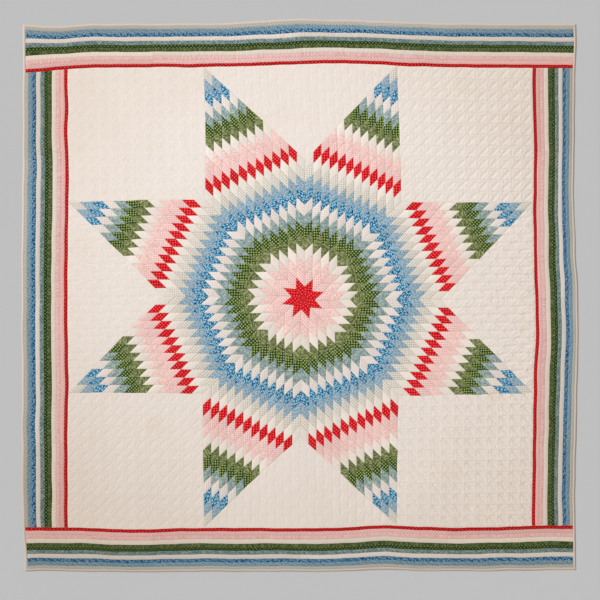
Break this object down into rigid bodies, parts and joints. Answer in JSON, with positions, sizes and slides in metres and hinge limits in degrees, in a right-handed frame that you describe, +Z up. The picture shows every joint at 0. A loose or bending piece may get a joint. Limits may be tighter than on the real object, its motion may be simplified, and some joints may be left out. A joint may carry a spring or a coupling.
{
  "type": "star of bethlehem quilt",
  "caption": "Flat square bed quilt with a large pieced star of small diamonds, plain quilted corners and sides, striped borders and a narrow binding.",
  "frame": {"origin": "under the middle of the quilt, on the flat underside", "axes": "+Z up out of the face, +Y towards the top edge of the quilt, +X towards its right edge"},
  "size_m": [2.3114, 2.2956, 0.0041],
  "materials": {
    "star_patchwork": "matt pieced cotton prints in red, pink, cream, olive, dark green, grey blue, blue, light blue and beige",
    "cream_cotton": "matt plain cream cotton, quilted by hand",
    "border_strips": "matt narrow strips of the same cotton prints as the star",
    "binding_cotton": "matt cream cotton, folded over the edge"
  },
  "bodies": {
    "root": {"arm_ene": "star_patchwork", "arm_nne": "star_patchwork", "arm_nnw": "star_patchwork", "arm_wnw": "star_patchwork", "arm_wsw": "star_patchwork", "arm_ssw": "star_patchwork", "arm_sse": "star_patchwork", "arm_ese": "star_patchwork", "corner_ne": "cream_cotton", "corner_nw": "cream_cotton", "corner_sw": "cream_cotton", "corner_se": "cream_cotton", "side_right": "cream_cotton", "side_top": "cream_cotton", "side_left": "cream_cotton", "side_bottom": "cream_cotton", "border_right": "border_strips", "border_top": "border_strips", "border_left": "border_strips", "border_bottom": "border_strips", "binding_right": "binding_cotton", "binding_top": "binding_cotton", "binding_left": "binding_cotton", "binding_bottom": "binding_cotton"}
  },
  "joints": []
}
